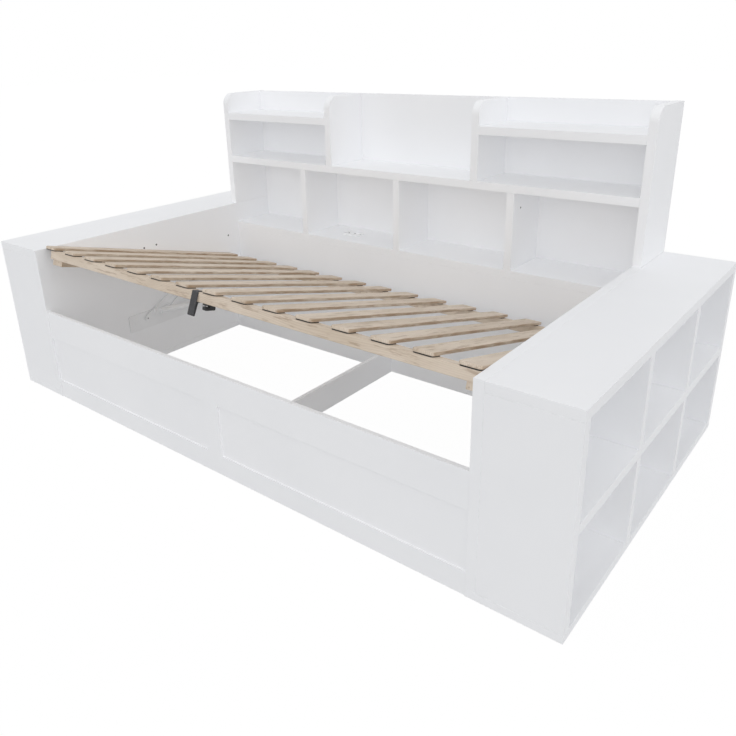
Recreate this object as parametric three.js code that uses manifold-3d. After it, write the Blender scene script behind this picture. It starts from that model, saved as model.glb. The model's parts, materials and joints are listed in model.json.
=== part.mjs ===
// Daybed with a lift-up slatted platform, two end cube cabinets and a rear bookcase.
// Millimetres, +Z up, +Y from the front to the back, +X along the bed.
// The origin is on the floor, under the middle of the whole piece.
import * as THREE from 'three';
import { mergeVertices } from 'three/addons/utils/BufferGeometryUtils.js';
import Module from 'manifold-3d';

const wasm = await Module();
wasm.setup();

// Overall
const bedLength = 1930;          // clear length between the two cabinets
const overallDepth = 1290;       // fronts of the cabinets to the back of the bookcase
const board = 30;                // cabinet and bookcase boards
const thinBoard = 15;            // storage box panels, fascia and back panel
const boardFit = 0.3;            // gap in a housed or notched joint

// End cabinets
const cabinetWidth = 268;
const cabinetHeight = 628;
const cabinetBottomBoard = 25;
const cabinetColumns = 3;

// Storage box between the cabinets
const boxFrontHeight = 377;
const boxFrontSetback = 2;       // front panel behind the cabinet fronts
const panelRecess = 5;
const recessTopMargin = 114;     // top edge of the panel to the recess
const recessBottom = 76;
const middleStile = 74;
const boxRearGap = 50;           // rear panel ahead of the bookcase
const boxRearHeight = 330;
const storageDividerHeight = 108;
const storageDividerThickness = 18;

// Bookcase
const bookcaseDepth = 245;
const bottomShelfTop = 537;
const lowerCubbyHeight = 290;    // clear heights
const upperCubbyHeight = 167;
const topBayHeight = 87;
const fasciaHeight = 207;
const lowerDividerOffset = 509;  // outer lower dividers, each side of the middle
const upperDividerOffset = 354;  // upper dividers, each side of the middle
const backPanelInset = 15;       // back panel ahead of the rear edges of the sides
const topCornerRadius = 48;
const cornerSteps = 8;

// Slatted platform, in its own frame: y from the slats' front ends, z from their undersides
const slatCount = 15;
const slatWidth = 65;
const slatThickness = 13;
const slatEndGap = 1.5;          // first and last slat to the cabinets
const slatSeat = 0.3;            // slats above the rails they lie on
const slatRearClearance = 12;    // closed slats to the storage box's rear panel
const railWidth = 40;
const railHeight = 32;
const frontRailInset = 2;        // front rail behind the slats' front ends
const rearRailInset = 13;        // rear rail ahead of the slats' rear ends
const railLeftGap = 42;          // cabinet to the rails' left ends
const railRightGap = 3;
const crossRailInset = 4;        // cross rails behind the front rail's face
const crossRailHeight = 27;
const crossRailLap = 6;          // cross rails let into the long rails
const leftCrossRailGap = 54.6;   // cabinet to the outer edge of the left cross rail
const leftCrossRailWidth = 62;
const rightCrossRailGap = 3;
const rightCrossRailWidth = 35;

// Platform position when closed
const closedSlatBottom = 337.3;
const closedSlatFront = 22;      // front of the cabinets to the slats' front ends

// Lift mechanism, the same on both sides; angles are above the horizontal, towards the rear
const baseRearGap = 195;         // base plate to the storage box's rear panel
const baseLength = 441;
const baseBottom = 163;
const baseHeight = 78;
const baseCorner = 10;
const steel = 3;                 // base plate and bracket
const linkSteel = 4;             // link and arm
const layerGap = 0.4;
const basePivotGap = 1;          // base plate to the rear arm
const frontPivotAlong = 91;      // base plate's front end to the front link's pivot
const frontPivotUp = 48;
const rearPivotAlong = 225;
const rearPivotUp = 53.7;
const frontLinkLength = 277.28;
const rearArmLength = 207.7;
const linkWidth = 28;
const armWidth = 30;
const closedLinkAngle = 3.675;
const restLinkAngle = 28;
const restArmAngle = 33.4;
const restTilt = 14.84;          // platform, front end raised
const rivetRadius = 5;
const rivetClearance = 0.5;
const rivetHeadRadius = 8;
const rivetHeadHeight = 2;
const armTipPinRadius = 4;
const armTipClearance = 4.4;     // room for the linkage's own path at the open pivot
const bracketEar = 16;           // metal round the bracket's pivots
const bracketLap = 17;           // bracket under the left cross rail
const roundSteps = 16;

// Gas struts
const strutPinAlongLink = 50;
const strutBaseAlong = 411;      // base plate's front end to the strut's rear pivot
const strutBaseUp = 45;
const strutStudRadius = 4;
const strutEyeWall = 3.6;
const strutEyeThickness = 10;
const strutEyeClearance = 5.4;   // room for the strut's own path at the open pivot
const socketRadius = 13;
const socketThickness = 8;
const cylinderRadius = 13;
const cylinderEndWall = 12;
const socketNeck = 6;            // socket centre to the start of the cylinder, past its rim
const rodRadius = 5;
const rodClearance = 0.8;
const rodShowing = 60;
const rodInsertion = 60;

// Pull strap and clip on the front rail
const strapWidth = 30;
const strapThickness = 2.2;
const strapSlat = 7;             // the strap hangs to the right of this slat
const strapSlatGap = 26.5;
const strapDrop = 79;            // slats' underside to the bottom of the loop
const strapFlap = 18;            // flap on top of the rail, from its front face
const strapInnerLeg = 2.3;       // rail's front face to the rear leg
const strapTail = 16;
const clipStrapGap = 19.3;
const clipWidth = 14;
const clipInset = 3;             // rail's front face to the clip's front
const clipDepth = 43;
const clipHeight = 22;
const clipJaw = 6;               // upper jaw, above the slot
const clipSlot = 3.5;
const clipHoleAlong = 17;        // clip's front to the middle of the round end of the slot
const clipHoleRadius = 4;
const clipBevel = 3;

const cutOverrun = 1;

// Places worked out from the sizes above
const bedHalf = bedLength / 2;
const overallHalf = bedHalf + cabinetWidth;
const middleShelfTop = bottomShelfTop + lowerCubbyHeight + board;
const upperShelfTop = middleShelfTop + upperCubbyHeight + board;
const bookcaseTop = upperShelfTop + topBayHeight;
const bookcaseFront = overallDepth - bookcaseDepth;
const boxFrontInner = boxFrontSetback + thinBoard;
const boxRearFace = bookcaseFront - boxRearGap;
const recessTop = boxFrontHeight - recessTopMargin;
const slatLength = boxRearFace - slatRearClearance - closedSlatFront;
const slatPitch = (bedLength - 2 * slatEndGap - slatWidth) / (slatCount - 1);
const firstSlatLeft = slatEndGap - bedHalf;
const strapLeft = firstSlatLeft + (strapSlat - 1) * slatPitch + slatWidth + strapSlatGap;
const strapRight = strapLeft + strapWidth;
const baseFront = boxRearFace - baseRearGap - baseLength;
const strutEyeRadius = strutStudRadius + strutEyeClearance + strutEyeWall;
const backPanelRear = overallDepth - backPanelInset;
const backPanelFront = backPanelRear - thinBoard;
const shelfMiddle = (cabinetBottomBoard + cabinetHeight - board) / 2;

const white = { color: 0xe9eaec, roughness: 0.55, metalness: 0 };
const pine = { color: 0xc9b8a4, roughness: 0.7, metalness: 0 };
const paintedSteel = { color: 0xdddfe1, roughness: 0.45, metalness: 0.3 };
const polishedSteel = { color: 0xd8d8d8, roughness: 0.2, metalness: 1 };
const webbing = { color: 0x2c2c2e, roughness: 0.9, metalness: 0 };
const plastic = { color: 0x17171a, roughness: 0.5, metalness: 0 };

const daybed = new THREE.Group();
const frontFrame = new THREE.Group();   // y counts from the front of the cabinets
frontFrame.position.y = -overallDepth / 2;
daybed.add(frontFrame);

function place(parent, name, finish, geometry) {
  const mesh = new THREE.Mesh(geometry, new THREE.MeshStandardMaterial(finish));
  mesh.name = name;
  parent.add(mesh);
  return mesh;
}

// A box from its lowest and highest corners.
function boxBetween(low, high) {
  const size = high.map((value, axis) => value - low[axis]);
  const geometry = new THREE.BoxGeometry(...size);
  geometry.translate(...low.map((value, axis) => value + size[axis] / 2));
  return geometry;
}

// A flat outline, given as (y, z), with its thickness along x between two places.
function acrossX(shape, from, to, steps = cornerSteps) {
  const start = Math.min(from, to);
  const depth = Math.abs(to - from);
  const geometry = new THREE.ExtrudeGeometry(shape, { depth, bevelEnabled: false, curveSegments: steps });
  const alongY = new THREE.Vector3(0, 1, 0);
  const alongZ = new THREE.Vector3(0, 0, 1);
  const alongX = new THREE.Vector3(1, 0, 0);
  geometry.applyMatrix4(new THREE.Matrix4().makeBasis(alongY, alongZ, alongX));
  geometry.translate(start, 0, 0);
  return geometry;
}

// A flat outline, given as (x, z), with its thickness along y between two places.
function acrossY(shape, from, to) {
  const geometry = new THREE.ExtrudeGeometry(shape, { depth: to - from, bevelEnabled: false });
  const alongX = new THREE.Vector3(1, 0, 0);
  const alongZ = new THREE.Vector3(0, 0, 1);
  const againstY = new THREE.Vector3(0, -1, 0);
  geometry.applyMatrix4(new THREE.Matrix4().makeBasis(alongX, alongZ, againstY));
  geometry.translate(0, to, 0);
  return geometry;
}

function outline(points) {
  return new THREE.Shape(points.map(([a, b]) => new THREE.Vector2(a, b)));
}

function toSolid(geometry) {
  const plain = geometry.clone();
  plain.deleteAttribute('normal');
  plain.deleteAttribute('uv');
  const merged = mergeVertices(plain);
  const vertProperties = new Float32Array(merged.attributes.position.array);
  const triVerts = new Uint32Array(merged.index.array);
  return new wasm.Manifold(new wasm.Mesh({ numProp: 3, vertProperties, triVerts }));
}

function toGeometry(solid) {
  const mesh = solid.getMesh();
  const geometry = new THREE.BufferGeometry();
  geometry.setAttribute('position', new THREE.BufferAttribute(mesh.vertProperties, 3));
  geometry.setIndex(new THREE.BufferAttribute(mesh.triVerts, 1));
  geometry.computeVertexNormals();
  return geometry;
}

function cut(geometry, tools) {
  let solid = toSolid(geometry);
  for (const tool of tools) solid = solid.subtract(toSolid(tool));
  return toGeometry(solid);
}

function join(geometries) {
  let solid = toSolid(geometries[0]);
  for (const other of geometries.slice(1)) solid = solid.add(toSolid(other));
  return toGeometry(solid);
}

function disc(centre, radius, from, to) {
  const shape = new THREE.Shape();
  shape.absarc(centre[0], centre[1], radius, 0, 2 * Math.PI, false);
  return acrossX(shape, from, to, roundSteps);
}

function roundHole(centre, radius) {
  const hole = new THREE.Path();
  hole.absarc(centre[0], centre[1], radius, 0, 2 * Math.PI, true);
  return hole;
}

function direction(degrees) {
  const angle = THREE.MathUtils.degToRad(degrees);
  return [Math.cos(angle), Math.sin(angle)];
}

function alongFrom(point, degrees, distance) {
  const [y, z] = direction(degrees);
  return [point[0] + distance * y, point[1] + distance * z];
}

// End cabinets

// The clear bays between boards that stand evenly between two faces.
function evenBays(from, to, count, thickness) {
  const clear = (to - from - thickness * (count - 1)) / count;
  return Array.from({ length: count }, (_, index) => {
    const start = from + index * (clear + thickness);
    return [start, start + clear];
  });
}

function cabinetDividerOutline(inner, outer) {
  const middle = (inner + outer) / 2;
  const low = shelfMiddle - board / 2 - boardFit;
  const high = shelfMiddle + board / 2 + boardFit;
  const floor = cabinetBottomBoard;
  const ceiling = cabinetHeight - board;
  return outline([[inner, floor], [outer, floor], [outer, low], [middle, low],
    [middle, high], [outer, high], [outer, ceiling], [inner, ceiling]]);
}

// The shelf is notched from its inner edge where the dividers cross it.
function cabinetShelf(inner, outer, bays) {
  const middle = (inner + outer) / 2;
  const slab = boxBetween(
    [Math.min(inner, outer), board, shelfMiddle - board / 2],
    [Math.max(inner, outer), overallDepth - board, shelfMiddle + board / 2]);
  const away = Math.sign(inner - outer) * cutOverrun;
  const notches = bays.slice(1).map(([start]) => boxBetween(
    [Math.min(middle, inner + away), start - board - boardFit, shelfMiddle - board],
    [Math.max(middle, inner + away), start + boardFit, shelfMiddle + board]));
  return cut(slab, notches);
}

function addCabinet(prefix, side) {
  const wall = side * bedHalf;
  const inner = side * (bedHalf + board);
  const outer = side * overallHalf;
  const span = (a, b, low, high) => boxBetween(
    [Math.min(a, b), low[0], low[1]], [Math.max(a, b), high[0], high[1]]);
  const under = cabinetHeight - board;
  const rear = overallDepth;

  place(frontFrame, `${prefix}_cabinet_bottom`, white,
    span(wall, outer, [0, 0], [rear, cabinetBottomBoard]));
  place(frontFrame, `${prefix}_cabinet_inner_panel`, white,
    span(wall, inner, [0, cabinetBottomBoard], [rear, cabinetHeight]));
  place(frontFrame, `${prefix}_cabinet_top`, white,
    span(inner, outer, [0, under], [rear, cabinetHeight]));
  place(frontFrame, `${prefix}_cabinet_front`, white,
    span(inner, outer, [0, cabinetBottomBoard], [board, under]));
  place(frontFrame, `${prefix}_cabinet_rear`, white,
    span(inner, outer, [rear - board, cabinetBottomBoard], [rear, under]));

  const bays = evenBays(board, rear - board, cabinetColumns, board);
  place(frontFrame, `${prefix}_cabinet_shelf`, white, cabinetShelf(inner, outer, bays));
  bays.slice(1).forEach(([start], index) => {
    place(frontFrame, `${prefix}_cabinet_divider_${index + 1}`, white,
      acrossY(cabinetDividerOutline(inner, outer), start - board, start));
  });
}

// Storage box

function storageFrontPanel() {
  const slab = boxBetween([-bedHalf, boxFrontSetback, 0], [bedHalf, boxFrontInner, boxFrontHeight]);
  const recess = (from, to) => boxBetween(
    [from, boxFrontSetback - cutOverrun, recessBottom],
    [to, boxFrontSetback + panelRecess, recessTop]);
  const stileEdge = middleStile / 2;
  return cut(slab, [
    recess(-bedHalf - cutOverrun, -stileEdge),
    recess(stileEdge, bedHalf + cutOverrun)]);
}

function addStorageBox() {
  place(frontFrame, 'storage_front_panel', white, storageFrontPanel());
  place(frontFrame, 'storage_rear_panel', white, boxBetween(
    [-bedHalf, boxRearFace, 0], [bedHalf, boxRearFace + thinBoard, boxRearHeight]));
  const halfDivider = storageDividerThickness / 2;
  place(frontFrame, 'storage_divider', white, boxBetween(
    [-halfDivider, boxFrontInner, 0], [halfDivider, boxRearFace, storageDividerHeight]));
}

// Bookcase

// An upright seen from the end, with its top front corner rounded.
function uprightOutline(bottom, rear) {
  const shape = new THREE.Shape();
  shape.moveTo(bookcaseFront, bottom);
  shape.lineTo(rear, bottom);
  shape.lineTo(rear, bookcaseTop);
  shape.lineTo(bookcaseFront + topCornerRadius, bookcaseTop);
  shape.absarc(bookcaseFront + topCornerRadius, bookcaseTop - topCornerRadius,
    topCornerRadius, Math.PI / 2, Math.PI, false);
  shape.lineTo(bookcaseFront, bottom);
  return shape;
}

function shelfSlab(from, to, top) {
  return boxBetween([from, bookcaseFront, top - board], [to, backPanelFront, top]);
}

// An upper divider and the short shelf that is glued to it.
function upperCubby(side) {
  const middle = side * upperDividerOffset;
  const divider = acrossX(uprightOutline(middleShelfTop, backPanelFront),
    middle - board / 2, middle + board / 2);
  const shelf = shelfSlab(Math.min(middle, side * bedHalf), Math.max(middle, side * bedHalf), upperShelfTop);
  return join([divider, shelf]);
}

function addBookcase() {
  const fasciaTop = bottomShelfTop - board;
  place(frontFrame, 'bookcase_fascia', white, boxBetween(
    [-bedHalf, bookcaseFront, fasciaTop - fasciaHeight],
    [bedHalf, bookcaseFront + thinBoard, fasciaTop]));
  place(frontFrame, 'bookcase_back_panel', white, boxBetween(
    [-bedHalf, backPanelFront, fasciaTop], [bedHalf, backPanelRear, bookcaseTop]));
  place(frontFrame, 'bookcase_bottom_shelf', white, shelfSlab(-bedHalf, bedHalf, bottomShelfTop));
  place(frontFrame, 'bookcase_middle_shelf', white, shelfSlab(-bedHalf, bedHalf, middleShelfTop));

  [-lowerDividerOffset, 0, lowerDividerOffset].forEach((middle, index) => {
    place(frontFrame, `bookcase_lower_divider_${index + 1}`, white, boxBetween(
      [middle - board / 2, bookcaseFront, bottomShelfTop],
      [middle + board / 2, backPanelFront, middleShelfTop - board]));
  });

  for (const [word, side] of [['left', -1], ['right', 1]]) {
    place(frontFrame, `bookcase_upper_cubby_${word}`, white, upperCubby(side));
    place(frontFrame, `bookcase_side_${word}`, white,
      acrossX(uprightOutline(cabinetHeight, overallDepth), side * bedHalf, side * (bedHalf + board)));
  }
}

// Lift geometry, as (y, z) from the front of the cabinets and the floor

const frontPivot = [baseFront + frontPivotAlong, baseBottom + frontPivotUp];
const rearPivot = [baseFront + rearPivotAlong, baseBottom + rearPivotUp];
const linkTipClosed = alongFrom(frontPivot, closedLinkAngle, frontLinkLength);
const linkTip = alongFrom(frontPivot, restLinkAngle, frontLinkLength);
const armTip = alongFrom(rearPivot, restArmAngle, rearArmLength);
const strutPin = alongFrom(frontPivot, restLinkAngle, strutPinAlongLink);
const strutBasePin = [baseFront + strutBaseAlong, baseBottom + strutBaseUp];

// Pivots in the platform's own frame
const linkTipOnPlatform = [linkTipClosed[0] - closedSlatFront, linkTipClosed[1] - closedSlatBottom];
const [tiltCos, tiltSin] = direction(restTilt);

function turned([y, z]) {
  return [y * tiltCos + z * tiltSin, z * tiltCos - y * tiltSin];
}

const turnedTip = turned(linkTipOnPlatform);
const platformPlace = [linkTip[0] - turnedTip[0], linkTip[1] - turnedTip[1]];

function onPlatform([y, z]) {
  const away = [y - platformPlace[0], z - platformPlace[1]];
  return [away[0] * tiltCos - away[1] * tiltSin, away[1] * tiltCos + away[0] * tiltSin];
}

const armTipOnPlatform = onPlatform(armTip);

// Layers of the mechanism, counted inwards from the cabinet wall
const armLayer = [steel + basePivotGap, steel + basePivotGap + linkSteel];
const linkLayer = [armLayer[1] + layerGap, armLayer[1] + layerGap + linkSteel];
const bracketLayer = [linkLayer[1] + layerGap, linkLayer[1] + layerGap + steel];
const strutSocketLayer = [bracketLayer[1] + layerGap, bracketLayer[1] + layerGap + socketThickness];
const strutAxisDepth = strutSocketLayer[0] + cylinderRadius;

// Slatted platform

const platform = new THREE.Group();
platform.position.set(0, platformPlace[0], platformPlace[1]);
platform.rotation.x = -THREE.MathUtils.degToRad(restTilt);
frontFrame.add(platform);

function slatFrame() {
  const left = -bedHalf + railLeftGap;
  const right = bedHalf - railRightGap;
  const rearRailEnd = slatLength - rearRailInset;
  const longRail = (front) => boxBetween([left, front, -railHeight], [right, front + railWidth, 0]);
  const crossTop = crossRailLap - railHeight;
  const crossRail = (from, width) => boxBetween(
    [from, frontRailInset + crossRailInset, crossTop - crossRailHeight],
    [from + width, rearRailEnd, crossTop]);
  return join([longRail(frontRailInset), longRail(rearRailEnd - railWidth),
    crossRail(-bedHalf + leftCrossRailGap, leftCrossRailWidth),
    crossRail(bedHalf - rightCrossRailGap - rightCrossRailWidth, rightCrossRailWidth)]);
}

function addSlats() {
  for (let index = 0; index < slatCount; index += 1) {
    const left = firstSlatLeft + index * slatPitch;
    const number = String(index + 1).padStart(2, '0');
    place(platform, `slat_${number}`, pine, boxBetween(
      [left, 0, slatSeat], [left + slatWidth, slatLength, slatSeat + slatThickness]));
  }
}

// The strap lies over the rail, hangs in a loop and comes back under the rail.
function pullStrap() {
  const face = frontRailInset - slatSeat;
  const front = face - strapThickness;
  const innerFace = frontRailInset + strapInnerLeg;
  const innerBack = innerFace + strapThickness;
  const foldRadius = (innerFace - face) / 2;
  const foldMiddle = (innerFace + face) / 2;
  const foldHeight = foldRadius + strapThickness - strapDrop;
  const railTop = slatSeat;
  const railBottom = -railHeight - slatSeat;
  const flapEnd = frontRailInset + strapFlap;
  const tailEnd = innerFace + strapTail;
  const shape = new THREE.Shape();
  shape.moveTo(flapEnd, railTop);
  shape.lineTo(flapEnd, railTop + strapThickness);
  shape.lineTo(face, railTop + strapThickness);
  shape.absarc(face, railTop, strapThickness, Math.PI / 2, Math.PI, false);
  shape.lineTo(front, foldHeight);
  shape.absarc(foldMiddle, foldHeight, foldRadius + strapThickness, Math.PI, 2 * Math.PI, false);
  shape.lineTo(innerBack, railBottom - strapThickness);
  shape.lineTo(tailEnd, railBottom - strapThickness);
  shape.lineTo(tailEnd, railBottom);
  shape.lineTo(innerFace, railBottom);
  shape.lineTo(innerFace, foldHeight);
  shape.absarc(foldMiddle, foldHeight, foldRadius, 2 * Math.PI, Math.PI, true);
  shape.lineTo(face, railTop);
  return acrossX(shape, strapLeft, strapRight);
}

// A plastic clip under the front rail, whose slot opens to the front and ends in a round hole.
function railClip() {
  const left = strapRight + clipStrapGap;
  const right = left + clipWidth;
  const front = frontRailInset + clipInset;
  const rear = front + clipDepth;
  const top = -railHeight - slatSeat;
  const bottom = top - clipHeight;
  const slotTop = top - clipJaw;
  const slotBottom = slotTop - clipSlot;
  const holeMiddle = [front + clipHoleAlong, slotBottom];
  const block = acrossX(outline([[front, top], [front, bottom + clipBevel], [front + clipBevel, bottom],
    [rear - clipBevel, bottom], [rear, bottom + clipBevel], [rear, top]]), left, right);
  const slot = boxBetween([left - cutOverrun, front - cutOverrun, slotBottom],
    [right + cutOverrun, holeMiddle[0], slotTop]);
  const hole = disc(holeMiddle, clipHoleRadius, left - cutOverrun, right + cutOverrun);
  return cut(block, [slot, hole]);
}

// Lift mechanism

// A flat bar with round ends between two pivots.
function barOutline(from, to, width) {
  const angle = Math.atan2(to[1] - from[1], to[0] - from[0]);
  const shape = new THREE.Shape();
  shape.absarc(to[0], to[1], width / 2, angle - Math.PI / 2, angle + Math.PI / 2, false);
  shape.absarc(from[0], from[1], width / 2, angle + Math.PI / 2, angle + 3 * Math.PI / 2, false);
  return shape;
}

function roundedPlate(from, to, radius) {
  const shape = new THREE.Shape();
  shape.absarc(to[0] - radius, from[1] + radius, radius, -Math.PI / 2, 0, false);
  shape.absarc(to[0] - radius, to[1] - radius, radius, 0, Math.PI / 2, false);
  shape.absarc(from[0] + radius, to[1] - radius, radius, Math.PI / 2, Math.PI, false);
  shape.absarc(from[0] + radius, from[1] + radius, radius, Math.PI, 3 * Math.PI / 2, false);
  return shape;
}

function liftBase(inward) {
  const plate = acrossX(
    roundedPlate([baseFront, baseBottom], [baseFront + baseLength, baseBottom + baseHeight], baseCorner),
    inward(0), inward(steel));
  const headStart = linkLayer[1] + layerGap;
  const frontRivet = disc(frontPivot, rivetRadius,
    inward(steel / 2), inward(headStart + rivetHeadHeight / 2));
  const frontHead = disc(frontPivot, rivetHeadRadius,
    inward(headStart), inward(headStart + rivetHeadHeight));
  const rearRivet = disc(rearPivot, rivetRadius, inward(steel / 2), inward(armLayer[1]));
  const eyeFace = strutAxisDepth + strutEyeThickness / 2 + layerGap;
  const strutStud = disc(strutBasePin, strutStudRadius,
    inward(steel / 2), inward(eyeFace + rivetHeadHeight / 2));
  const strutHead = disc(strutBasePin, strutEyeRadius,
    inward(eyeFace), inward(eyeFace + rivetHeadHeight));
  return join([plate, frontRivet, frontHead, rearRivet, strutStud, strutHead]);
}

function frontLink(inward) {
  const shape = barOutline(frontPivot, linkTip, linkWidth);
  shape.holes.push(roundHole(frontPivot, rivetRadius + rivetClearance));
  shape.holes.push(roundHole(linkTip, rivetRadius + rivetClearance));
  const bar = acrossX(shape, inward(linkLayer[0]), inward(linkLayer[1]));
  const stud = disc(strutPin, strutStudRadius,
    inward(linkLayer[1] - linkSteel / 2), inward(strutSocketLayer[1]));
  return join([bar, stud]);
}

function rearArm(inward) {
  const shape = barOutline(rearPivot, armTip, armWidth);
  shape.holes.push(roundHole(rearPivot, rivetRadius + rivetClearance));
  shape.holes.push(roundHole(armTip, armTipPinRadius + armTipClearance));
  return acrossX(shape, inward(armLayer[0]), inward(armLayer[1]));
}

// The bracket is made in the platform's frame, where its flange lies under the cross rail.
function liftBracket(inward) {
  const flangeTop = crossRailLap - railHeight - crossRailHeight - slatSeat;
  const front = linkTipOnPlatform[0] - bracketEar;
  const rear = armTipOnPlatform[0] + bracketEar;
  const shape = new THREE.Shape();
  shape.moveTo(rear, flangeTop);
  shape.lineTo(front, flangeTop);
  shape.absarc(linkTipOnPlatform[0], linkTipOnPlatform[1], bracketEar, Math.PI, 3 * Math.PI / 2, false);
  shape.absarc(armTipOnPlatform[0], armTipOnPlatform[1], bracketEar, 3 * Math.PI / 2, 2 * Math.PI, false);
  const web = acrossX(shape, inward(bracketLayer[0]), inward(bracketLayer[1]));
  const flangeEnds = [inward(bracketLayer[0]), inward(leftCrossRailGap + bracketLap)];
  const flange = boxBetween(
    [Math.min(...flangeEnds), front, flangeTop - steel], [Math.max(...flangeEnds), rear, flangeTop]);
  const linkRivet = disc(linkTipOnPlatform, rivetRadius, inward(armLayer[1] + layerGap / 2),
    inward(bracketLayer[0] + steel / 2));
  const armRivet = disc(armTipOnPlatform, armTipPinRadius, inward(armLayer[0]),
    inward(bracketLayer[0] + steel / 2));
  return join([web, flange, linkRivet, armRivet]);
}

// A turned piece along y, from a closed profile of (radius, distance) pairs.
function turnedAlongY(profile) {
  const points = profile.map(([radius, distance]) => new THREE.Vector2(radius, distance));
  points.push(points[0].clone());
  return new THREE.LatheGeometry(points, roundSteps);
}

// The strut lies along its own y axis, from its socket on the link towards its base pin.
const strutSpan = [strutBasePin[0] - strutPin[0], strutBasePin[1] - strutPin[1]];
const strutLength = Math.hypot(...strutSpan);
const strutAngle = Math.atan2(strutSpan[1], strutSpan[0]);
const cylinderStart = socketRadius + socketNeck;
const cylinderEnd = strutLength - strutEyeRadius - rodShowing;

function gasCylinder(inward) {
  const bore = rodRadius + rodClearance;
  const boreStart = cylinderStart + cylinderEndWall;
  const tube = turnedAlongY([[0, cylinderStart], [cylinderRadius, cylinderStart],
    [cylinderRadius, cylinderEnd], [bore, cylinderEnd], [bore, boreStart], [0, boreStart]]);
  const socketNear = inward(strutSocketLayer[0]) - inward(strutAxisDepth);
  const socketFar = inward(strutSocketLayer[1]) - inward(strutAxisDepth);
  const socket = disc([0, 0], socketRadius, socketNear, socketFar);
  const neckHalf = socketThickness / 2;
  const neckMiddle = (socketNear + socketFar) / 2;
  const neck = boxBetween([neckMiddle - neckHalf, 0, -neckHalf],
    [neckMiddle + neckHalf, cylinderStart + cylinderEndWall / 2, neckHalf]);
  const pinHole = disc([0, 0], strutStudRadius + rivetClearance,
    Math.min(socketNear, socketFar) - cutOverrun, Math.max(socketNear, socketFar) + cutOverrun);
  return cut(join([tube, socket, neck]), [pinHole]);
}

function gasRod() {
  const rodStart = cylinderEnd - rodInsertion;
  const eyeEdge = strutLength - strutEyeRadius;
  const rodEnd = eyeEdge + strutEyeWall / 2;
  const rod = turnedAlongY([[0, rodStart], [rodRadius, rodStart], [rodRadius, rodEnd], [0, rodEnd]]);
  const eyeShape = new THREE.Shape();
  eyeShape.absarc(strutLength, 0, strutEyeRadius, 0, 2 * Math.PI, false);
  eyeShape.holes.push(roundHole([strutLength, 0], strutStudRadius + strutEyeClearance));
  const eye = acrossX(eyeShape, -strutEyeThickness / 2, strutEyeThickness / 2, roundSteps);
  return join([rod, eye]);
}

function addLift(prefix, side) {
  const inward = (depth) => side * (bedHalf - depth);
  place(frontFrame, `${prefix}_lift_base`, paintedSteel, liftBase(inward));
  place(frontFrame, `${prefix}_front_link`, paintedSteel, frontLink(inward));
  place(frontFrame, `${prefix}_rear_arm`, paintedSteel, rearArm(inward));
  place(platform, `${prefix}_lift_bracket`, paintedSteel, liftBracket(inward));

  const strut = new THREE.Group();
  strut.position.set(inward(strutAxisDepth), strutPin[0], strutPin[1]);
  strut.rotation.x = strutAngle;
  frontFrame.add(strut);
  place(strut, `${prefix}_gas_cylinder`, paintedSteel, gasCylinder(inward));
  place(strut, `${prefix}_gas_rod`, polishedSteel, gasRod());
}

addCabinet('left', -1);
addCabinet('right', 1);
addStorageBox();
addBookcase();
place(platform, 'slat_frame', pine, slatFrame());
addSlats();
place(platform, 'pull_strap', webbing, pullStrap());
place(platform, 'rail_clip', plastic, railClip());
addLift('left', -1);
addLift('right', 1);

export default daybed;
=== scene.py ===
import json
import math
import random

import bmesh
import bpy
from mathutils import Matrix, Vector

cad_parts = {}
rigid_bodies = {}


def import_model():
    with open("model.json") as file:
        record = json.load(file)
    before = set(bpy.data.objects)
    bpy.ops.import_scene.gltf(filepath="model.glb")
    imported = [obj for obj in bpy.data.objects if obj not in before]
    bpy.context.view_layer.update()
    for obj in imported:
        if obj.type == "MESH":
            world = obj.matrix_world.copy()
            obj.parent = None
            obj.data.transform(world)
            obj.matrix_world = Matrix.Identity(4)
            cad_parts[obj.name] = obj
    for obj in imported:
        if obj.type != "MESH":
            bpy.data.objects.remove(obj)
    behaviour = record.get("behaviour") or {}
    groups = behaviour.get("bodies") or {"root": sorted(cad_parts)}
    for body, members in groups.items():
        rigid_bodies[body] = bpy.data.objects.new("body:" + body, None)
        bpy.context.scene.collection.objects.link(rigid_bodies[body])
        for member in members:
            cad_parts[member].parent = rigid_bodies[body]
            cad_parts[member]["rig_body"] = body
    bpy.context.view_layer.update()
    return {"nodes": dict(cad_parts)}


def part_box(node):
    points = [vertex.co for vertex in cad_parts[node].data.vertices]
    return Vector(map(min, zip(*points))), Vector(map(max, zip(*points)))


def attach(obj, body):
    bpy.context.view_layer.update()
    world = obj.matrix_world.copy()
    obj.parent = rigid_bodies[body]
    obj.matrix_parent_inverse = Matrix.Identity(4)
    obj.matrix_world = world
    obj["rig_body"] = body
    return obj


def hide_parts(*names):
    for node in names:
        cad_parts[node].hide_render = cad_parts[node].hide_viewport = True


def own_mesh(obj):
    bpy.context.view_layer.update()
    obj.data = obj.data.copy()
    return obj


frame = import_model()
cad = frame["nodes"]
body_of = {name: node["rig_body"] for name, node in cad.items()}

# Places and sizes in metres, angles in degrees

BED_HALF = 0.965
SHELF_TOP = 0.537

# The platform's frame starts at the slats' front ends, on the plane under the slats
PLATFORM_START = (0, -0.60359, 0.62658)
PLATFORM_TILT = math.radians(-14.84)
PLATFORM = Matrix.Translation(PLATFORM_START) @ Matrix.Rotation(PLATFORM_TILT, 4, "X")

RAIL_WIDTH = 0.040
RAIL_HEIGHT = 0.032
CROSS_RAIL_INSET = 0.004
CROSS_RAIL_HEIGHT = 0.027
CROSS_RAIL_LAP = 0.006
LEFT_CROSS_RAIL_GAP = 0.0546
LEFT_CROSS_RAIL_WIDTH = 0.062
RIGHT_CROSS_RAIL_GAP = 0.003
RIGHT_CROSS_RAIL_WIDTH = 0.035

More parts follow.
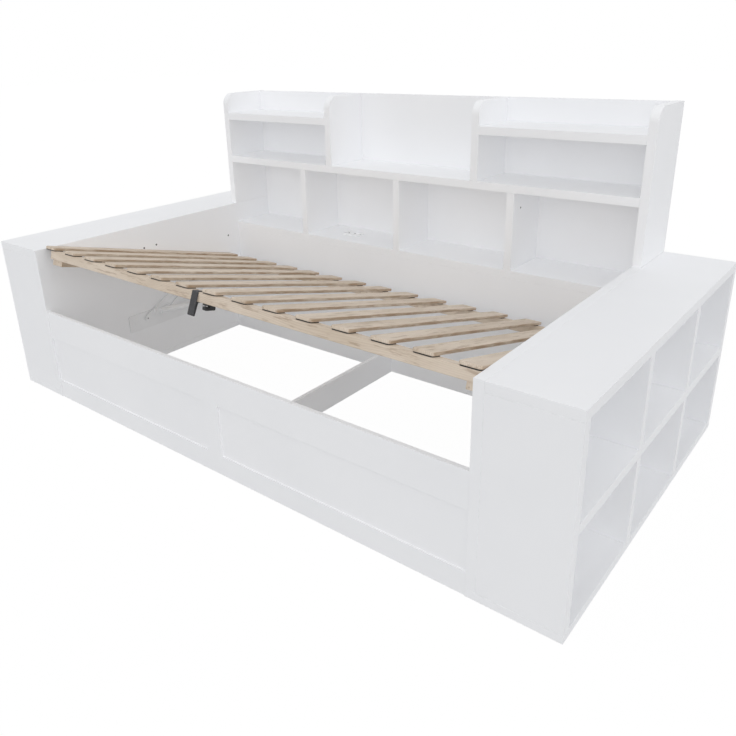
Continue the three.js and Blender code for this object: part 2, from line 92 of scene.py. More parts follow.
SLAT_CORNER = 0.009
# The slats stand SLAT_LIFT above the rails on near-black pads, whose edges are painted shadow in the
# gap under the slat ends
SLAT_LIFT = 0.0024
PAD_INSET = 0.0030
PAD_FRONT_INSET = 0.0012
PAD_REAR_INSET = 0.008
PAD_CORNER = 0.006

STRAP_THICKNESS = 0.0022
STRAP_GAP = 0.0003
STRAP_DROP = 0.079
STRAP_LEG_GAP = 0.0026
STRAP_FLAP = 0.018
STRAP_TAIL = 0.016
STRAP_LEAN = 0.012
SELVEDGE_STEPS = 5

# Screws, with the wall screws' and the divider screw's places as (y, z)
SCREW_RADIUS = 0.0042
SCREW_HEIGHT = 0.0008
WALL_SCREWS = ((-0.156, 0.527), (-0.091, 0.528), (0.331, 0.480))
DIVIDER_SCREW = (0.457, 0.766)
DIVIDER_SCREW_RADIUS = 0.0035
STRAP_SCREW_RADIUS = 0.0030
STRAP_SCREW_HEIGHT = 0.0011
PIVOT_SCREW_RADIUS = 0.0032
PIVOT_SCREW_HEIGHT = 0.0004
FACING_RIGHT = Matrix.Rotation(math.radians(90), 4, "Y")
FACING_LEFT = Matrix.Rotation(math.radians(-90), 4, "Y")

# Only the heads of the pivots stand this far off the wall with a face this large
HEAD_HEIGHT = 0.0042
HEAD_AREA = 0.0001

OUTLET_CENTRE = Vector((-0.3165, 0.510, SHELF_TOP))
OUTLET_LENGTH = 0.092
OUTLET_DEPTH = 0.052
OUTLET_CORNER = 0.012
OUTLET_LIP = 0.0050
OUTLET_LIP_WIDTH = 0.0050
OUTLET_CAP = 0.0012
OUTLET_CAP_GAP = 0.0006
# The cable holes are black discs standing a little proud of the cap, painted shade for their depth
OUTLET_HOLES = 3
OUTLET_HOLE = 0.0072
OUTLET_HOLE_PITCH = 0.0335
OUTLET_HOLE_REAR = 0.012
OUTLET_HOLE_PROUD = 0.0002

# Rounding of the edges
BOARD_EDGE = 0.0009
SLAT_EDGE = 0.0030
RAIL_EDGE = 0.0022
CROSS_RAIL_EDGE = 0.0015
PAD_EDGE = 0.0003
STEEL_EDGE = 0.0004
CYLINDER_EDGE = 0.0008
CLIP_EDGE = 0.0008
LIP_EDGE = 0.0006
CAP_EDGE = 0.0004
HOLE_EDGE = 0.0001
CORNER_STEPS = 5
WOOD_EDGE_STEPS = 3

# Points this near are one, faces this flat are one, and edges this sharp are rounded
WELD = 0.00001
FLAT = math.radians(0.5)
SHARP = math.radians(30)

# Normals along X: a slat's side faces, which get painted shade, have more than this, and a plate's
# thickness faces, which get painted shade, have less
SIDE_SHADE_FROM = 0.2
EDGE_SHADE_BELOW = 0.3

CAMERA_PLACE = Vector((1.68957, -1.95039, 1.34218))
CAMERA_TURN = 39.22
CAMERA_HEIGHT = 21.44
CAMERA_ROLL = -1.54
CAMERA_LENS = 34.99
CAMERA_SENSOR = 36
CAMERA_SHIFT = (0.0170, -0.0588)

FLOOR_HALF = 30
FLOOR_WHITE_SHARE = 0.93
# With the paint's own light this makes the lit floor just white
FLOOR_GLOW = 1.04
SKY_LIGHT = 0.72
LAMP_SPREAD = 50

# Pine: one cell of wood holds at most one knot, and the rings turn about a heart under the board
KNOT_CELLS = (2.6, 9.0, 9.0)
METRES_PER_CELL = tuple(1 / size for size in KNOT_CELLS)
KNOT_SHAPE = (0.72, 1.0, 0.3)
KNOT_CHANCE = 0.62
KNOT_GROWTH = 0.021
RING_SPACING = 0.0052
HEART_DEPTH = 0.034
HEART_DRIFT = 0.075
HEART_SWAY = 0.090

# Webbing
WARP_PITCH = 0.0014
WEFT_PITCH = 0.0011

# Colours
FOIL_WHITE = (0.854, 0.860, 0.876)
FOIL_BRIGHT = (0.876, 0.881, 0.895)
FOIL_AGED = (0.76, 0.76, 0.77)
PINE_PALE = (0.705, 0.612, 0.510)
PINE_TAN = (0.590, 0.495, 0.392)
LATE_WOOD = (0.370, 0.270, 0.190)
FIBRE_BROWN = (0.500, 0.405, 0.315)
STREAK_BROWN = (0.300, 0.205, 0.130)
PORE_BROWN = (0.300, 0.225, 0.160)
KNOT_DARK = (0.220, 0.140, 0.085)
KNOT_LIGHT = (0.320, 0.220, 0.145)
HALO_BROWN = (0.400, 0.300, 0.215)
HANDLED_PINE = (0.520, 0.430, 0.340)
# Painted shade for the faces at the left and right of the slats and cross rails
SIDE_SHADE_BROWN = (0.330, 0.225, 0.140)
STEEL_PAINT = (0.785, 0.790, 0.800)
STEEL_PAINT_LIGHT = (0.835, 0.840, 0.850)
# Painted shade along the thickness faces of the lift plates, links and arms
EDGE_SHADE_GREY = (0.460, 0.463, 0.470)
RUBBED_GREY = (0.60, 0.60, 0.61)
RIVET_DARK = (0.105, 0.105, 0.110)
RIVET_GREY = (0.170, 0.170, 0.178)
ROD_BRIGHT = (0.740, 0.745, 0.750)
ROD_OILY = (0.660, 0.655, 0.640)
WEBBING_DARK = (0.012, 0.012, 0.014)
WEBBING_THREAD = (0.056, 0.056, 0.062)
WEBBING_DUST = (0.095, 0.094, 0.096)
# Painted shadow: the near-black pads under the slat ends
SHADOW_FELT_DARK = (0.008, 0.007, 0.006)
SHADOW_FELT_FIBRE = (0.030, 0.027, 0.025)
PLASTIC_BLACK = (0.010, 0.010, 0.011)
PLASTIC_WHITE = (0.800, 0.805, 0.812)
FLOOR_GREY = (0.50, 0.50, 0.50)
FLOOR_SPECKLE = (0.52, 0.52, 0.52)
STUDIO_WHITE = (1, 1, 1)
SKY_TINT = (0.985, 0.99, 1.0)


# Shader expressions


def is_vector(value):
    """Whether a value is a direction or place rather than a number."""
    if isinstance(value, Value):
        return value.socket.type == "VECTOR"
    return isinstance(value, tuple)


class Value:
    """A number, colour or vector that one shader node hands to the next."""

    def __init__(self, finish, socket):
        self.finish = finish
        self.socket = socket

    def sibling(self, name):
        """Another output of the same node."""
        return Value(self.finish, self.socket.node.outputs[name])

    def math(self, operation, *values):
        """Number or vector arithmetic, whichever the values call for."""
        vector = any(is_vector(value) for value in values)
        kind = "ShaderNodeVectorMath" if vector else "ShaderNodeMath"
        return self.finish.node(kind, {"operation": operation}, dict(enumerate(values)))

    def __add__(self, other):
        return self.math("ADD", self, other)

    def __radd__(self, other):
        return self.math("ADD", other, self)

    def __sub__(self, other):
        return self.math("SUBTRACT", self, other)

    def __rsub__(self, other):
        return self.math("SUBTRACT", other, self)

    def __mul__(self, other):
        return self.math("MULTIPLY", self, other)

    def __rmul__(self, other):
        return self.math("MULTIPLY", other, self)

    def __truediv__(self, other):
        return self.math("DIVIDE", self, other)

    def __pow__(self, other):
        return self.math("POWER", self, other)

    def fraction(self):
        return self.math("FRACT", self)

    def sine(self):
        return self.math("SINE", self)

    def exponential(self):
        return self.math("EXPONENT", self)

    def length(self):
        settings = {"operation": "LENGTH"}
        return self.finish.node("ShaderNodeVectorMath", settings, {0: self}, "Value")

    def split(self):
        """The three numbers of a vector or colour."""
        first = self.finish.node("ShaderNodeSeparateXYZ", {}, {0: self}, "X")
        return first, first.sibling("Y"), first.sibling("Z")

    def between(self, low, high):
        """0 below low, 1 above high and a smooth rise between them."""
        settings = {"interpolation_type": "SMOOTHSTEP"}
        inputs = {"Value": self, "From Min": low, "From Max": high}
        return self.finish.node("ShaderNodeMapRange", settings, inputs, "Result")


class Finish:
    """A material that is built up from shader expressions."""

    def __init__(self, name):
        self.material = bpy.data.materials.new(name)
        self.material.use_nodes = True
        self.tree = self.material.node_tree
        self.tree.nodes.clear()

    def node(self, kind, settings, inputs, output=0):
        """Adds one node: its settings first, then the values or links of its sockets."""
        added = self.tree.nodes.new(kind)
        for name, value in settings.items():
            setattr(added, name, value)
        for name, value in inputs.items():
            socket = added.inputs[name]
            if isinstance(value, Value):
                self.tree.links.new(value.socket, socket)
            elif socket.type == "VECTOR" and isinstance(value, (int, float)):
                socket.default_value = (value, value, value)
            else:
                socket.default_value = value
        return Value(self, added.outputs[output])

    def attribute(self, name, output="Vector"):
        """A value stored on the piece's own mesh."""
        return self.node("ShaderNodeAttribute", {"attribute_name": name}, {}, output)

    def place(self):
        """The point of the piece that is shaded, at rest."""
        return self.node("ShaderNodeTexCoord", {}, {}, "Object")

    def noise(self, place, scale, detail=2.0, roughness=0.5):
        """Cloudy variation from 0 to 1."""
        inputs = {"Vector": place, "Scale": scale, "Detail": detail, "Roughness": roughness}
        return self.node("ShaderNodeTexNoise", {}, inputs, "Fac")

    def mix(self, share, start, end):
        """The start colour where share is 0 and the end colour where it is 1."""
        settings = {"data_type": "RGBA"}
        inputs = {0: share, 6: colour(start), 7: colour(end)}
        return self.node("ShaderNodeMix", settings, inputs, 2)

    def bump(self, height, distance, strength=1.0):
        """A normal that follows a height from 0 to 1, distance metres deep."""
        inputs = {"Height": height, "Distance": distance, "Strength": strength}
        return self.node("ShaderNodeBump", {}, inputs, "Normal")

    def surface(self, **sockets):
        """The closing shader, whose socket names are given with underscores."""
        inputs = {name.replace("_", " "): value for name, value in sockets.items()}
        shader = self.node("ShaderNodeBsdfPrincipled", {}, inputs)
        self.node_output(shader)
        return self.material

    def node_output(self, shader):
        """Links a shader to the material's output."""
        output = self.tree.nodes.new("ShaderNodeOutputMaterial")
        self.tree.links.new(shader.socket, output.inputs["Surface"])


def colour(value):
    """A plain colour gets its fourth number."""
    return value if isinstance(value, Value) else (*value, 1.0)


# Finishes


def make_white_board():
    """Satin white foil on particle board, with a faint orange peel and dulled edges."""
    board = Finish("white_board")
    place = board.place()
    clouds = board.noise(place, 2.3, 3.0)
    smears = board.noise(place * (9.0, 9.0, 2.0), 1.0, 4.0, 0.6)
    peel = board.noise(place, 420.0, 2.0)
    grit = board.noise(place, 60.0, 3.0, 0.6)
    worn = board.attribute("edge", "Fac") * grit.between(0.42, 0.62)
    white = board.mix(clouds.between(0.3, 0.7), FOIL_WHITE, FOIL_BRIGHT)
    aged = board.mix(worn * 0.45, white, FOIL_AGED)
    return board.surface(
        Base_Color=aged,
        Roughness=0.44 + smears * 0.14 + worn * 0.15,
        Specular_IOR_Level=0.18,
        Normal=board.bump(peel, 0.00003, 0.3),
    )


def pine_knots(pine, grain):
    """Scattered knots: their cover, the swirl round them, and the distance from their hearts."""
    cells = grain * KNOT_CELLS
    nearest = pine.node(
        "ShaderNodeTexVoronoi", {}, {"Vector": cells, "Scale": 1.0}, "Position")
    distance = ((cells - nearest) * METRES_PER_CELL * KNOT_SHAPE).length()
    over_limit = nearest.sibling("Color").split()[0] - KNOT_CHANCE
    radius = over_limit.math("MAXIMUM", over_limit, 0.0) * KNOT_GROWTH
    closeness = 1.0 - (distance / (radius + 0.0004)).between(0.7, 1.15)
    has_knot = radius.between(0.0005, 0.002)
    swirl = (distance * distance * -2600.0).exponential() * has_knot
    return closeness * has_knot, swirl, distance


def pine_rings(pine, grain, swirl):
    """The late wood of growth rings about a wandering heart, bolder in some places."""
    _, across, depth = grain.split()
    drift = pine.noise(grain * (1.1, 2.0, 2.0), 1.0, 1.0)
    sway = pine.noise(grain * (2.4, 3.0, 3.0) + (7.3, 1.1, 4.2), 1.0, 1.0)
    ripple = pine.noise(grain * (9.0, 60.0, 60.0), 1.0, 2.0)
    heart_across = across + (sway - 0.5) * HEART_SWAY
    heart_depth = depth + HEART_DEPTH + (drift - 0.5) * HEART_DRIFT
    ring_radius = (heart_across * heart_across + heart_depth * heart_depth) ** 0.5
    ring = ((ring_radius + ripple * 0.0014 + swirl * 0.012) / RING_SPACING).fraction()
    late_wood = ring ** 3.0 * (1.0 - ring.between(0.93, 1.0))
    bold = pine.noise(grain * (1.6, 9.0, 9.0) + (2.0, 8.0, 5.0), 1.0, 1.0).between(0.42, 0.66)
    return late_wood * (0.30 + bold * 0.70)


def knot_wood(pine, distance):
    """The fine rings inside a knot."""
    ring = ((distance * 3100.0).sine() * 0.5 + 0.5) * 0.5
    return pine.mix(ring, KNOT_DARK, KNOT_LIGHT)


def make_pine():
    """Planed pine: growth rings, knots, fibres, streaks and soft edges, with painted shade on the
    faces at the left and right of each board.
    """
    pine = Finish("pine")
    grain = pine.attribute("grain")
    knot, swirl, knot_distance = pine_knots(pine, grain)
    rings = pine_rings(pine, grain, swirl)
    fibres = pine.noise(grain * (14.0, 900.0, 900.0), 1.0, 2.0, 0.6)
    patches = pine.noise(grain * (3.2, 22.0, 22.0) + (3.0, 5.0, 1.0), 1.0, 3.0, 0.6)
    streaks = pine.noise(grain * (11.0, 75.0, 75.0) + (5.0, 2.0, 9.0), 1.0, 3.0, 0.65)
    pores = pine.noise(grain * (60.0, 1500.0, 1500.0), 1.0, 1.0).between(0.62, 0.78)

    pale = pine.mix(patches.between(0.32, 0.70), PINE_PALE, PINE_TAN)
    ringed = pine.mix(rings * 0.85, pale, LATE_WOOD)
    fibred = pine.mix(fibres.between(0.35, 0.75) * 0.26, ringed, FIBRE_BROWN)
    streaked = pine.mix(streaks.between(0.54, 0.66) * 0.50, fibred, STREAK_BROWN)
    pored = pine.mix(pores * 0.20, streaked, PORE_BROWN)
    darkened = pine.mix(swirl * 0.30, pored, HALO_BROWN)
    knotted = pine.mix(knot * 0.92, darkened, knot_wood(pine, knot_distance))
    edges = pine.attribute("edge", "Fac") * patches.between(0.35, 0.6)
    handled = pine.mix(edges * 0.25, knotted, HANDLED_PINE)
    # Painted shade: the faces at the left and right are darkened, unevenly, for the shadow between
    # the slats that the fill lamps don't cast
    side_shade = pine.attribute("side_shade", "Fac") * (0.12 + streaks.between(0.30, 0.62) * 0.68)
    side_shaded = pine.mix(side_shade, handled, SIDE_SHADE_BROWN)

    height = rings * 0.6 + fibres * 0.3 - pores * 0.5 + knot * 0.4
    return pine.surface(
        Base_Color=side_shaded,
        Roughness=0.52 + fibres * 0.14 - rings * 0.10 - knot * 0.12,
        Specular_IOR_Level=0.38,
        Normal=pine.bump(height, 0.00025, 0.6),
    )


def make_painted_steel():
    """Powder-coated steel: a fine orange peel and rubbed edges, with painted shade on the plates'
    thickness faces.
    """
    coat = Finish("painted_steel")
    place = coat.place()
    tone = coat.noise(place, 14.0, 3.0)
    peel = coat.noise(place, 900.0, 2.0)
    grit = coat.noise(place, 160.0, 3.0, 0.65)
    rubbed = coat.attribute("edge", "Fac") * grit.between(0.48, 0.60)
    # Painted shade: the thickness faces are darkened to draw the contact shadows round the plates,
    # which the fill lamps don't cast
    edge_shade_share = coat.attribute("edge_shade", "Fac") * (0.75 + tone * 0.25)
    painted = coat.mix(tone.between(0.3, 0.7), STEEL_PAINT, STEEL_PAINT_LIGHT)
    edge_shade = coat.mix(edge_shade_share, painted, EDGE_SHADE_GREY)
    return coat.surface(
        Base_Color=coat.mix(rubbed * 0.5, edge_shade, RUBBED_GREY),
        Roughness=0.38 + tone * 0.10 + rubbed * 0.08,
        Normal=coat.bump(peel, 0.00006, 0.5),
    )


def make_rivet_steel():
    """Dark plated steel for rivets and screws, with a brushed sheen."""
    steel = Finish("rivet_steel")
    place = steel.place()
    tone = steel.noise(place, 130.0, 3.0)
    brushed = steel.noise(place * (1.0, 1.0, 6.0), 900.0, 2.0)
    return steel.surface(
        Base_Color=steel.mix(tone.between(0.3, 0.7), RIVET_DARK, RIVET_GREY),
        Roughness=0.30 + brushed * 0.18,
        Metallic=0.9,
        Normal=steel.bump(brushed, 0.00003, 0.5),
    )


def make_polished_steel():
    """The bright gas rods, with fine lines round them and a trace of oil."""
    rod = Finish("polished_steel")
    place = rod.place()
    lines = rod.noise(place * (60.0, 2600.0, 60.0), 1.0, 2.0)
    oil = rod.noise(place, 70.0, 3.0)
    return rod.surface(
        Base_Color=rod.mix(oil.between(0.4, 0.7), ROD_BRIGHT, ROD_OILY),
        Roughness=0.10 + lines * 0.08 + oil * 0.08,
        Metallic=1.0,
        Normal=rod.bump(lines, 0.00001, 0.4),
    )


def make_webbing():
    """Black woven webbing, whose thread counts come from its own length and width."""
    strap = Finish("webbing")
    along, across, _ = strap.attribute("weave").split()
    turn = 2 * math.pi
    warp = (across * (turn / WARP_PITCH)).sine() * 0.5 + 0.5
    weft = ((along + across * 0.5) * (turn / WEFT_PITCH)).sine() * 0.5 + 0.5
    thread = warp ** 0.5 * (0.35 + weft * 0.65)
    fuzz = strap.noise(strap.attribute("weave"), 700.0, 3.0, 0.7)
    rubbed = strap.noise(strap.attribute("weave"), 60.0, 3.0)
    black = strap.mix(thread, WEBBING_DARK, WEBBING_THREAD)
    dusty = strap.mix(rubbed.between(0.45, 0.75) * 0.35, black, WEBBING_DUST)
    return strap.surface(
        Base_Color=dusty,
        Roughness=0.72 + fuzz * 0.18,
        Sheen_Weight=0.25,
        Sheen_Roughness=0.45,
        Normal=strap.bump(thread + fuzz * 0.25, 0.00035, 0.8),
    )


def make_plastic(name, base, texture_scale, roughness):
    """Moulded plastic with a spark-eroded texture and paler rubbed edges."""
    plastic = Finish(name)
    place = plastic.place()
    texture = plastic.noise(place, texture_scale, 3.0, 0.6)
    tone = plastic.noise(place, 35.0, 2.0)
    rubbed = plastic.attribute("edge", "Fac") * tone.between(0.35, 0.65)
    lighter = tuple(min(1.0, part * 1.10 + 0.006) for part in base)
    worn = tuple(min(1.0, part * 1.15 + 0.02) for part in base)
    toned = plastic.mix(tone.between(0.3, 0.7), base, lighter)
    return plastic.surface(
        Base_Color=plastic.mix(rubbed * 0.6, toned, worn),
        Roughness=roughness + texture * 0.12,
        Normal=plastic.bump(texture, 0.00008, 0.5),
    )


def make_shadow_felt():
    """The near-black pads under the slats, whose dark stands in for the shadow in the gap under the
    slat ends.
    """
    shadow_felt = Finish("shadow_felt")
    place = shadow_felt.place()
    fibres = shadow_felt.noise(place, 1300.0, 4.0, 0.7)
    return shadow_felt.surface(
        Base_Color=shadow_felt.mix(fibres, SHADOW_FELT_DARK, SHADOW_FELT_FIBRE),
        Roughness=0.85 + fibres * 0.10,
        Sheen_Weight=0.15,
        Normal=shadow_felt.bump(fibres, 0.0004, 0.7),
    )


def seen_directly(finish):
    """1 for the rays that show the background: to the camera, and mirrored or let through."""
    camera = finish.node("ShaderNodeLightPath", {}, {}, "Is Camera Ray")
    seen = camera.math("MAXIMUM", camera, camera.sibling("Is Glossy Ray"))
    return camera.math("MAXIMUM", seen, camera.sibling("Is Transmission Ray"))


def make_floor_finish():
    """A white studio floor that keeps a faint shadow."""
    floor = Finish("studio_floor")
    speckle = floor.noise(floor.place(), 30.0, 3.0)
    paint = floor.node("ShaderNodeBsdfPrincipled", {}, {
        "Base Color": floor.mix(speckle, FLOOR_GREY, FLOOR_SPECKLE),
        "Roughness": 0.9,
    })
    glow = floor.node("ShaderNodeEmission", {}, {
        "Color": colour(STUDIO_WHITE), "Strength": FLOOR_GLOW})
    share = seen_directly(floor) * FLOOR_WHITE_SHARE
    floor.node_output(floor.node("ShaderNodeMixShader", {}, {0: share, 1: paint, 2: glow}))
    return floor.material


white_board = make_white_board()
pine = make_pine()
painted_steel = make_painted_steel()
rivet_steel = make_rivet_steel()
polished_steel = make_polished_steel()
webbing = make_webbing()
black_plastic = make_plastic("black_plastic", PLASTIC_BLACK, 900.0, 0.42)
white_plastic = make_plastic("white_plastic", PLASTIC_WHITE, 700.0, 0.34)
shadow_felt = make_shadow_felt()


# Mesh building


def round_edges(shape, radius, steps=2):
    """Rounds the sharp edges and marks the rounded faces for the finish's wear."""
    wear = shape.faces.layers.float.new("edge")
    edges = [edge for edge in shape.edges if edge.calc_face_angle(0) > SHARP]
    made = bmesh.ops.bevel(
        shape, geom=edges, offset=radius, offset_type="OFFSET", segments=steps,
        profile=0.5, affect="EDGES", clamp_overlap=True)
    for face in made["faces"]:
        face[wear] = 1.0


def finished(shape, name, finish, body, replaced=()):
    """Turns a shape into a piece that rides on a body and stands for CAD nodes."""
    for face in shape.faces:
        face.smooth = True
    mesh = bpy.data.meshes.new(name)
    shape.to_mesh(mesh)
    shape.free()
    mesh.materials.append(finish)
    piece = bpy.data.objects.new(name, mesh)
    bpy.context.scene.collection.objects.link(piece)
    shading = piece.modifiers.new("shading", "WEIGHTED_NORMAL")
    shading.keep_sharp = True
    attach(piece, body)
    if replaced:
        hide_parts(*replaced)
    return piece


def prism(outline, direction):
    """A closed shape between an outline and its copy shifted by direction."""
    shape = bmesh.new()
    near = [shape.verts.new(point) for point in outline]
    far = [shape.verts.new(Vector(point) + direction) for point in outline]
    shape.faces.new(near)
    shape.faces.new(far)
    for index in range(len(outline)):
        shape.faces.new([near[index - 1], near[index], far[index], far[index - 1]])
    bmesh.ops.recalc_face_normals(shape, faces=shape.faces)
    return shape


def lay_grain(piece, to_board, seed):
    """Stores each point's place in the log that the board came from."""
    chooser = random.Random(seed)
    start = Vector((chooser.uniform(-40, 40), chooser.uniform(-0.03, 0.03),
                    chooser.uniform(-0.012, 0.03)))
    shift = Vector((0, 0, chooser.choice((0, 0.02, -0.015))))
    layer = piece.data.attributes.new("grain", "FLOAT_VECTOR", "POINT")
    for index, vertex in enumerate(piece.data.vertices):
        layer.data[index].vector = to_board @ vertex.co + start + shift


# From the scene to a board's own grain: along the slats and cross rails, or along the rails
ALONG_SLATS = Matrix(((0, 1, 0), (1, 0, 0), (0, 0, 1))).to_4x4() @ PLATFORM.inverted()
ALONG_RAILS = PLATFORM.inverted()


def mark_shaded_edges(shape):
    """Marks for painted shade the faces that show the thickness of a plate which stands across X."""
    layer = shape.faces.layers.float.new("edge_shade")
    for face in shape.faces:
        face[layer] = 1.0 if abs(face.normal.x) < EDGE_SHADE_BELOW else 0.0


def dressed(node, finish, radius, shade_edges=False):
    """A copy of a CAD node with whole faces instead of triangles, and rounded edges."""
    shape = bmesh.new()
    shape.from_mesh(cad[node].data)
    bmesh.ops.remove_doubles(shape, verts=shape.verts, dist=WELD)
    bmesh.ops.dissolve_limit(shape, angle_limit=FLAT, verts=shape.verts, edges=shape.edges)
    if shade_edges:
        mark_shaded_edges(shape)
    round_edges(shape, radius)
    return finished(shape, f"{node}_dressed", finish, body_of[node], [node])


# White boards


def dress_boards():
    """The cabinets, the storage box and the bookcase."""
    for node in sorted(cad):
        if "cabinet" in node or "storage" in node or "bookcase" in node:
            dressed(node, white_board, BOARD_EDGE)


# Slatted platform


def platform_box(node):
    """Lowest and highest corner of a CAD node in the platform's own frame."""
    to_platform = PLATFORM.inverted()
    corners = [to_platform @ vertex.co for vertex in cad[node].data.vertices]
    low = Vector([min(corner[axis] for corner in corners) for axis in range(3)])
    high = Vector([max(corner[axis] for corner in corners) for axis in range(3)])
    return low, high


def rounded_plan(low, high, radius):
    """A rectangle with rounded corners, as points at the height of low."""
    points = []
    middles = ((high.x - radius, high.y - radius), (low.x + radius, high.y - radius),
               (low.x + radius, low.y + radius), (high.x - radius, low.y + radius))
    for quarter, (x, y) in enumerate(middles):
        for step in range(CORNER_STEPS + 1):
            angle = math.pi / 2 * (quarter + step / CORNER_STEPS)
            points.append(Vector((
                x + radius * math.cos(angle), y + radius * math.sin(angle), low.z)))
    return points


def platform_board(shape, name, seed, grain, replaced, edge):
    """A pine board given in the platform's frame, with painted shade marked on the faces at its left
    and right.
    """
    side_shade = shape.faces.layers.float.new("side_shade")
    for face in shape.faces:
        face[side_shade] = max(0.0, abs(face.normal.x) - SIDE_SHADE_FROM) / (1 - SIDE_SHADE_FROM)
    round_edges(shape, edge, WOOD_EDGE_STEPS)
    shape.transform(PLATFORM)
    piece = finished(shape, name, pine, "platform", replaced)
    lay_grain(piece, grain, seed)
    return piece


def make_slat(node, seed):
    """One slat with rounded corners, lying on its pads."""
    low, high = platform_box(node)
    low.z += SLAT_LIFT
    outline = rounded_plan(low, high, SLAT_CORNER)
    shape = prism(outline, Vector((0, 0, high.z - low.z)))
    platform_board(shape, f"{node}_dressed", seed, ALONG_SLATS, [node], SLAT_EDGE)


def make_slat_shadow_pads(node):
    """Near-black pads between a slat and the two rails, as painted shadow under the slat's ends."""
    low, high = platform_box(node)
    frame_low, frame_high = platform_box("slat_frame")
    for name, front, rear in (
            ("front", low.y + PAD_FRONT_INSET, frame_low.y + RAIL_WIDTH),
            ("rear", frame_high.y - RAIL_WIDTH, frame_high.y - PAD_REAR_INSET)):
        pad_low = Vector((low.x + PAD_INSET, front, 0))
        pad_high = Vector((high.x - PAD_INSET, rear, 0))
        outline = rounded_plan(pad_low, pad_high, PAD_CORNER)
        shape = prism(outline, Vector((0, 0, low.z + SLAT_LIFT)))
        round_edges(shape, PAD_EDGE, 1)
        shape.transform(PLATFORM)
        finished(shape, f"{node}_pad_{name}", shadow_felt, "platform")


def box_outline(low, high):
    """The four corners of a rectangle at the height of low."""
    return [Vector((low.x, low.y, low.z)), Vector((high.x, low.y, low.z)),
            Vector((high.x, high.y, low.z)), Vector((low.x, high.y, low.z))]


def make_rails():
    """The two long rails and the two cross rails that are glued up under them."""
    low, high = platform_box("slat_frame")
    for name, front, seed in (("front_rail", low.y, 12), ("rear_rail", high.y - RAIL_WIDTH, 23)):
        rail_low = Vector((low.x, front, -RAIL_HEIGHT))
        rail_high = Vector((high.x, front + RAIL_WIDTH, 0))
        shape = prism(box_outline(rail_low, rail_high), Vector((0, 0, RAIL_HEIGHT)))
        platform_board(shape, name, seed, ALONG_RAILS, ["slat_frame"], RAIL_EDGE)
    front = low.y + CROSS_RAIL_INSET
    under_front = low.y + RAIL_WIDTH
    over_rear = high.y - RAIL_WIDTH
    notch = CROSS_RAIL_LAP - RAIL_HEIGHT
    bottom = notch - CROSS_RAIL_HEIGHT
    outline = [(front, bottom), (high.y, bottom), (high.y, -RAIL_HEIGHT), (over_rear, -RAIL_HEIGHT),
               (over_rear, notch), (under_front, notch), (under_front, -RAIL_HEIGHT),
               (front, -RAIL_HEIGHT)]
    left_side = -BED_HALF + LEFT_CROSS_RAIL_GAP
    right_side = BED_HALF - RIGHT_CROSS_RAIL_GAP - RIGHT_CROSS_RAIL_WIDTH
    for name, left, width, seed in (
            ("left_cross_rail", left_side, LEFT_CROSS_RAIL_WIDTH, 5),
            ("right_cross_rail", right_side, RIGHT_CROSS_RAIL_WIDTH, 8)):
        shape = prism([Vector((left, y, z)) for y, z in outline], Vector((width, 0, 0)))
        platform_board(shape, name, seed, ALONG_SLATS, ["slat_frame"], CROSS_RAIL_EDGE)


def make_platform():
    """The rails, and each slat on its two pads."""
    make_rails()
    slats = sorted(node for node in cad if node.startswith("slat_") and node != "slat_frame")
    for seed, node in enumerate(slats):
        make_slat(node, seed + 100)
        make_slat_shadow_pads(node)


# Pull strap and rail clip


def arc(middle, radius, start, end, steps):
    """Points of an arc in the (y, z) plane, with angles in degrees."""
    angles = [math.radians(start + (end - start) * step / steps) for step in range(steps + 1)]
    return [(middle[0] + radius * math.cos(angle), middle[1] + radius * math.sin(angle))
            for angle in angles]


def strap_top_line(face):
    """The middle line of the strap's fixed end, over the rail's top and round its front edge."""
    half = STRAP_THICKNESS / 2
    line = [(face + STRAP_FLAP, STRAP_GAP + half), (face + STRAP_FLAP / 2, STRAP_GAP + half)]
    line += arc((face, STRAP_GAP), half, 90, 180, 6)
    line.append((face - half, -half))
    return line


def strap_loop_line(face):
    """The middle line of the loop, which leans out from the rail, folds and comes back."""
    half = STRAP_THICKNESS / 2
    slope = math.atan2(STRAP_LEAN, STRAP_DROP)
    down = Vector((-math.sin(slope), -math.cos(slope)))
    across = Vector((math.cos(slope), -math.sin(slope)))
    fold_radius = STRAP_LEG_GAP / 2 + half
    top = Vector((face - half, STRAP_GAP))
    fold = top + down * (STRAP_DROP - fold_radius - half) + across * fold_radius
    line = [tuple(top + (fold - across * fold_radius - top) * share / 8) for share in range(9)]
    turn = math.degrees(slope)
    line += arc(fold, fold_radius, 180 - turn, 360 - turn, 12)[1:]
    rear_top = Vector((face + STRAP_GAP + half, -RAIL_HEIGHT - STRAP_THICKNESS))
    rear_start = fold + across * fold_radius
    line += [tuple(rear_start + (rear_top - rear_start) * share / 5) for share in range(1, 6)]
    return line


def strap_tail_line(face):
    """The middle line of the strap's other end, under the rail."""
    height = -RAIL_HEIGHT - STRAP_GAP - STRAP_THICKNESS / 2
    return [(face + STRAP_TAIL * share / 4, height) for share in range(5)]


def band_section(width, half):
    """The outline of a flat band with round selvedges, as distances across it and out of it."""
    section = []
    for start, middle in ((0.5, half), (1.5, width - half)):
        for step in range(SELVEDGE_STEPS + 1):
            angle = math.pi * (start + step / SELVEDGE_STEPS)
            section.append((middle + half * math.cos(angle), half * math.sin(angle)))
    return section


